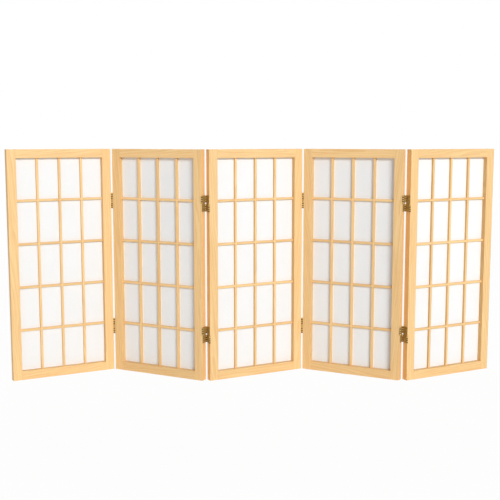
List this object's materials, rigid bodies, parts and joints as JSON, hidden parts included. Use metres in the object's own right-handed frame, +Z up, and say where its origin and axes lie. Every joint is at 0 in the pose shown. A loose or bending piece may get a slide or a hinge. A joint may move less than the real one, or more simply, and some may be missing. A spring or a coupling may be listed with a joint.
{
  "type": "folding shoji screen",
  "caption": "Free-standing folding screen: tall spruce frames with a square lattice over paper, joined edge to edge by brass two-way hinges, to divide or dress a space.",
  "frame": {"origin": "floor level, under the middle of the third panel, which is the middle of the standing zigzag", "axes": "+X along the screen from left to right as seen from its front, +Y from front to back, +Z up"},
  "size_m": [1.2972, 0.151, 0.61],
  "materials": {
    "spruce": "clear satin lacquer on pale spruce",
    "shoji_paper": "matt white fibre paper",
    "antique_brass": "antique brown brass, satin"
  },
  "bodies": {
    "panel_1": {"panel_1_left_stile": "spruce", "panel_1_right_stile": "spruce", "panel_1_top_rail": "spruce", "panel_1_bottom_rail": "spruce", "panel_1_vertical_bars": "spruce", "panel_1_horizontal_bars": "spruce", "panel_1_paper": "shoji_paper", "panel_1_hinge_leaves": "antique_brass", "fold_12_upper_link_ends": "antique_brass"},
    "panel_2": {"panel_2_left_stile": "spruce", "panel_2_right_stile": "spruce", "panel_2_top_rail": "spruce", "panel_2_bottom_rail": "spruce", "panel_2_vertical_bars": "spruce", "panel_2_horizontal_bars": "spruce", "panel_2_paper": "shoji_paper", "panel_2_hinge_leaves": "antique_brass", "fold_23_lower_link_ends": "antique_brass"},
    "panel_3": {"panel_3_left_stile": "spruce", "panel_3_right_stile": "spruce", "panel_3_top_rail": "spruce", "panel_3_bottom_rail": "spruce", "panel_3_vertical_bars": "spruce", "panel_3_horizontal_bars": "spruce", "panel_3_paper": "shoji_paper", "panel_3_hinge_leaves": "antique_brass"},
    "panel_4": {"panel_4_left_stile": "spruce", "panel_4_right_stile": "spruce", "panel_4_top_rail": "spruce", "panel_4_bottom_rail": "spruce", "panel_4_vertical_bars": "spruce", "panel_4_horizontal_bars": "spruce", "panel_4_paper": "shoji_paper", "panel_4_hinge_leaves": "antique_brass", "fold_34_lower_link_ends": "antique_brass"},
    "panel_5": {"panel_5_left_stile": "spruce", "panel_5_right_stile": "spruce", "panel_5_top_rail": "spruce", "panel_5_bottom_rail": "spruce", "panel_5_vertical_bars": "spruce", "panel_5_horizontal_bars": "spruce", "panel_5_paper": "shoji_paper", "panel_5_hinge_leaves": "antique_brass", "fold_45_upper_link_ends": "antique_brass"},
    "fold_12_link": {"fold_12_lower_links": "antique_brass", "fold_12_link_pins": "antique_brass"},
    "fold_12_reverse_link": {"fold_12_upper_links": "antique_brass", "fold_12_reverse_link_pins": "antique_brass"},
    "fold_23_link": {"fold_23_upper_links": "antique_brass", "fold_23_link_pins": "antique_brass"},
    "fold_23_reverse_link": {"fold_23_lower_links": "antique_brass", "fold_23_reverse_link_pins": "antique_brass"},
    "fold_34_link": {"fold_34_upper_links": "antique_brass", "fold_34_link_pins": "antique_brass"},
    "fold_34_reverse_link": {"fold_34_lower_links": "antique_brass", "fold_34_reverse_link_pins": "antique_brass"},
    "fold_45_link": {"fold_45_lower_links": "antique_brass", "fold_45_link_pins": "antique_brass"},
    "fold_45_reverse_link": {"fold_45_upper_links": "antique_brass", "fold_45_reverse_link_pins": "antique_brass"}
  },
  "joints": [
    {"name": "fold_12_close", "type": "hinge", "parent": "panel_2", "child": "fold_12_link", "pos_m": [-0.39033, 0.05554, 0], "axis": [0, 0, 1], "range_deg": [-54.5, 125.5]},
    {"name": "fold_12_reverse", "type": "hinge", "parent": "fold_12_link", "child": "panel_1", "pos_m": [-0.39967, 0.07367, 0], "axis": [0, 0, 1], "range_deg": [-180, 0]},
    {"name": "fold_12_reverse_link_turn", "type": "hinge", "parent": "panel_2", "child": "fold_12_reverse_link", "pos_m": [-0.38099, 0.07367, 0], "axis": [0, 0, 1], "range_deg": [-180, 0]},
    {"name": "fold_23_close", "type": "hinge", "parent": "panel_3", "child": "fold_23_link", "pos_m": [-0.13011, -0.05554, 0], "axis": [0, 0, -1], "range_deg": [-54.5, 125.5]},
    {"name": "fold_23_reverse", "type": "hinge", "parent": "fold_23_link", "child": "panel_2", "pos_m": [-0.13945, -0.07367, 0], "axis": [0, 0, -1], "range_deg": [-180, 0]},
    {"name": "fold_23_reverse_link_turn", "type": "hinge", "parent": "panel_3", "child": "fold_23_reverse_link", "pos_m": [-0.12077, -0.07367, 0], "axis": [0, 0, -1], "range_deg": [-180, 0]},
    {"name": "fold_34_close", "type": "hinge", "parent": "panel_3", "child": "fold_34_link", "pos_m": [0.13011, 0.05554, 0], "axis": [0, 0, -1], "range_deg": [-54.5, 125.5]},
    {"name": "fold_34_reverse", "type": "hinge", "parent": "fold_34_link", "child": "panel_4", "pos_m": [0.13945, 0.07367, 0], "axis": [0, 0, -1], "range_deg": [-180, 0]},
    {"name": "fold_34_reverse_link_turn", "type": "hinge", "parent": "panel_3", "child": "fold_34_reverse_link", "pos_m": [0.12077, 0.07367, 0], "axis": [0, 0, -1], "range_deg": [-180, 0]},
    {"name": "fold_45_close", "type": "hinge", "parent": "panel_4", "child": "fold_45_link", "pos_m": [0.39033, -0.05554, 0], "axis": [0, 0, 1], "range_deg": [-54.5, 125.5]},
    {"name": "fold_45_reverse", "type": "hinge", "parent": "fold_45_link", "child": "panel_5", "pos_m": [0.39967, -0.07367, 0], "axis": [0, 0, 1], "range_deg": [-180, 0]},
    {"name": "fold_45_reverse_link_turn", "type": "hinge", "parent": "panel_4", "child": "fold_45_reverse_link", "pos_m": [0.38099, -0.07367, 0], "axis": [0, 0, 1], "range_deg": [-180, 0]}
  ],
  "couplings": [
    {"joint": "fold_12_reverse_link_turn", "follows": "fold_12_reverse", "ratio": 1},
    {"joint": "fold_23_reverse_link_turn", "follows": "fold_23_reverse", "ratio": 1},
    {"joint": "fold_34_reverse_link_turn", "follows": "fold_34_reverse", "ratio": 1},
    {"joint": "fold_45_reverse_link_turn", "follows": "fold_45_reverse", "ratio": 1}
  ]
}
